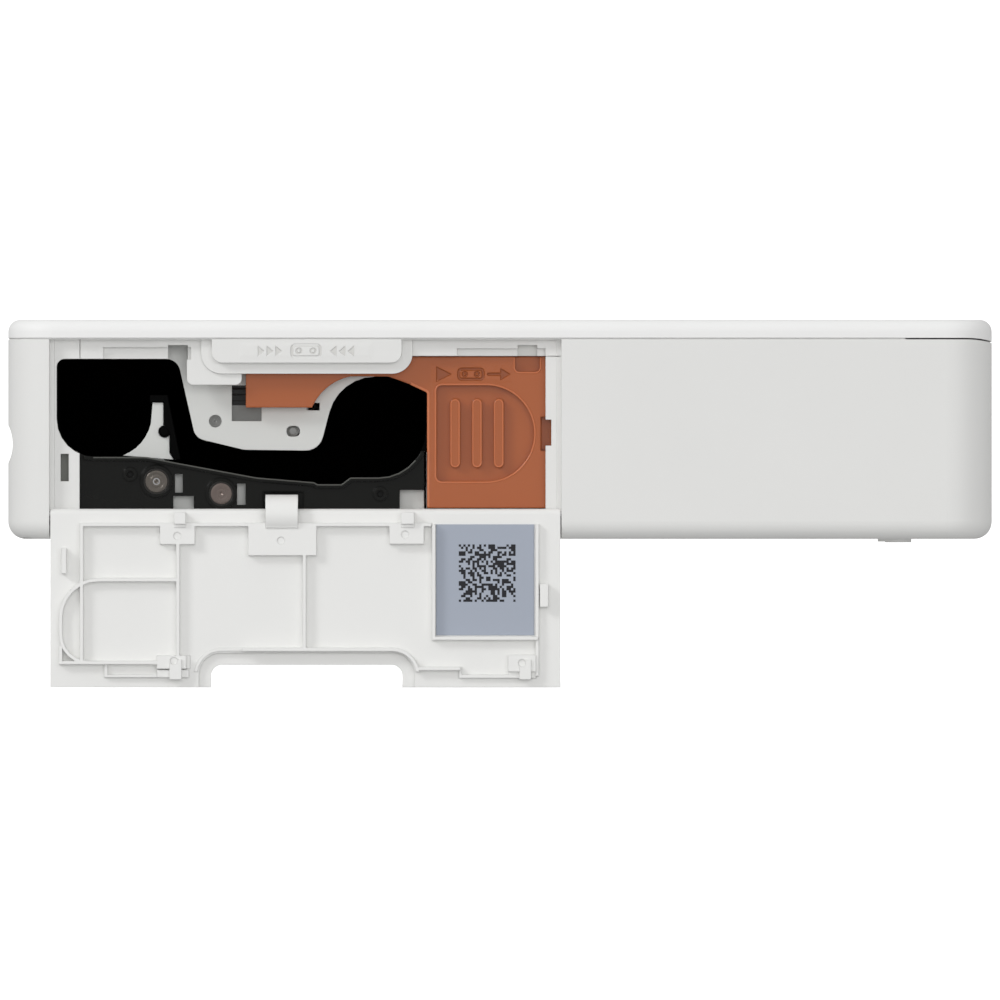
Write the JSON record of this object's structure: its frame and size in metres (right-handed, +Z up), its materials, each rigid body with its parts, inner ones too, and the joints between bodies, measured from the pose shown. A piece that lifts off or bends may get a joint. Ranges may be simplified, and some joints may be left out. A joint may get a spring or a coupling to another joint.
{
  "type": "compact photo printer",
  "caption": "Slim photo printer with a side door folded down from its ribbon-cassette bay, an orange eject lever, a hinged paper lid and its geared print mechanism.",
  "frame": {"origin": "centre of the case's flat underside, between the feet", "axes": "+X along the case from the paper exit end to the lid hinge end, -Y out of the side with the cassette door, +Z up"},
  "size_m": [0.1458, 0.1048, 0.0545],
  "materials": {
    "case_white": "fine matte moulded",
    "lid_white": "fine matte moulded",
    "door_white": "satin moulded",
    "rail_grey": "satin moulded",
    "bay_black": "matte moulded",
    "tray_grey": "matte moulded",
    "lever_orange": "satin moulded",
    "gear_white": "natural moulded",
    "steel": "turned",
    "plate_steel": "zinc plated sheet",
    "copper_steel": "turned",
    "brass": "turned",
    "bushing": "natural moulded",
    "motor_can": "drawn",
    "rubber": "matte",
    "foot_rubber": "matte",
    "pad_felt": "felt",
    "heatsink": "extruded",
    "ceramic": "glazed",
    "pcb_green": "solder mask",
    "chip_black": "moulded",
    "cell_wrap": "shrink wrap",
    "clear_pipe": "clear",
    "label_blue": "printed film"
  },
  "bodies": {
    "chassis": {"bottom_case": "case_white", "rubber_feet": "foot_rubber", "case_screws": "steel", "near_guide": "bay_black", "inner_frame": "rail_grey", "cassette_bay": "bay_black", "ribbon_fin": "rail_grey", "head_plate": "rail_grey", "far_plate": "plate_steel", "gear_plate": "plate_steel", "plate_posts": "brass", "roller_bushings": "bushing", "lever_rail": "rail_grey", "paper_tray": "tray_grey", "paper_chute": "bay_black", "battery_pack": "cell_wrap", "main_board": "pcb_green", "board_parts": "chip_black", "usb_port": "motor_can", "light_pipes": "clear_pipe", "feed_motor": "motor_can", "pickup_motor": "motor_can", "lid_hinge_pins": "steel", "eject_spring": "steel"},
    "door": {"cassette_door": "door_white", "door_pins": "steel", "door_label": "label_blue"},
    "eject": {"eject_lever": "lever_orange"},
    "lid": {"paper_lid": "lid_white", "presser_springs": "steel"},
    "presser": {"presser_plate": "tray_grey", "presser_pads": "pad_felt"},
    "power": {"power_button": "door_white"},
    "release": {"release_slide": "door_white"},
    "feed": {"feed_roller": "steel", "feed_gear": "gear_white"},
    "platen": {"platen_roller": "rubber", "platen_shaft": "copper_steel"},
    "pinch": {"pinch_roller": "steel"},
    "takeup": {"takeup_spindle": "gear_white", "takeup_gear": "gear_white"},
    "supply": {"supply_spindle": "gear_white"},
    "pickup": {"pickup_roller": "rubber", "pickup_shaft": "steel", "pickup_gear": "gear_white"},
    "feed_pinion": {"feed_pinion": "brass"},
    "pickup_pinion": {"pickup_pinion": "brass"},
    "head": {"head_sink": "heatsink", "head_strip": "ceramic"},
    "cams": {"lift_cams": "gear_white"}
  },
  "joints": [
    {"name": "door_hinge", "type": "hinge", "parent": "chassis", "child": "door", "pos_m": [0, -0.0503, 0.00366], "axis": [-1, 0, 0], "range_deg": [0, 180]},
    {"name": "lid_hinge", "type": "hinge", "parent": "chassis", "child": "lid", "pos_m": [0.06915, 0, 0.0156], "axis": [0, 1, 0], "range_deg": [0, 75]},
    {"name": "presser_slide", "type": "slide", "parent": "lid", "child": "presser", "axis": [0, 0, 1], "range_m": [0, 0.003], "stiffness_N_per_m": 60, "springref_m": -0.004, "deforming": ["presser_springs"]},
    {"name": "eject_slide", "type": "slide", "parent": "chassis", "child": "eject", "axis": [1, 0, 0], "range_m": [0, 0.004], "stiffness_N_per_m": 150, "springref_m": -0.003, "deforming": ["eject_spring"]},
    {"name": "power_press", "type": "slide", "parent": "chassis", "child": "power", "axis": [0, -1, 0], "range_m": [0, 0.0004], "stiffness_N_per_m": 500, "springref_m": -0.0004},
    {"name": "release_push", "type": "slide", "parent": "chassis", "child": "release", "axis": [1, 0, 0], "range_m": [0, 0.0025], "stiffness_N_per_m": 200, "springref_m": -0.002},
    {"name": "head_swing", "type": "hinge", "parent": "chassis", "child": "head", "pos_m": [-0.02924, 0, 0.0185], "axis": [0, -1, 0], "range_deg": [0, 19], "stiffness_Nm_per_rad": 0.02, "springref_deg": -22.92},
    {"name": "cam_turn", "type": "hinge", "parent": "chassis", "child": "cams", "pos_m": [-0.03354, 0, 0.026], "axis": [0, -1, 0], "range_deg": [0, 95]},
    {"name": "feed_spin", "type": "hinge", "parent": "chassis", "child": "feed", "pos_m": [-0.05089, 0, 0.00852], "axis": [0, -1, 0], "continuous": true},
    {"name": "platen_spin", "type": "hinge", "parent": "chassis", "child": "platen", "pos_m": [-0.04129, 0, 0.00671], "axis": [0, -1, 0], "continuous": true},
    {"name": "pinch_spin", "type": "hinge", "parent": "chassis", "child": "pinch", "pos_m": [-0.05099, 0, 0.01227], "axis": [0, -1, 0], "continuous": true},
    {"name": "takeup_spin", "type": "hinge", "parent": "chassis", "child": "takeup", "pos_m": [-0.0578, 0, 0.01958], "axis": [0, -1, 0], "continuous": true},
    {"name": "supply_spin", "type": "hinge", "parent": "chassis", "child": "supply", "pos_m": [-0.01804, 0, 0.01636], "axis": [0, -1, 0], "continuous": true},
    {"name": "pickup_spin", "type": "hinge", "parent": "chassis", "child": "pickup", "pos_m": [0.00396, 0, 0.0106], "axis": [0, -1, 0], "continuous": true},
    {"name": "feed_pinion_spin", "type": "hinge", "parent": "chassis", "child": "feed_pinion", "pos_m": [-0.04396, 0, 0.01433], "axis": [0, -1, 0], "continuous": true},
    {"name": "pickup_pinion_spin", "type": "hinge", "parent": "chassis", "child": "pickup_pinion", "pos_m": [-0.00237, 0, 0.01964], "axis": [0, -1, 0], "continuous": true}
  ],
  "couplings": [
    {"joint": "takeup_spin", "follows": "feed_spin", "ratio": -0.73333},
    {"joint": "feed_pinion_spin", "follows": "feed_spin", "ratio": -1.5714},
    {"joint": "pinch_spin", "follows": "feed_spin", "ratio": -1.8462},
    {"joint": "pickup_pinion_spin", "follows": "pickup_spin", "ratio": -2.1429},
    {"joint": "cam_turn", "follows": "head_swing", "ratio": 5}
  ]
}
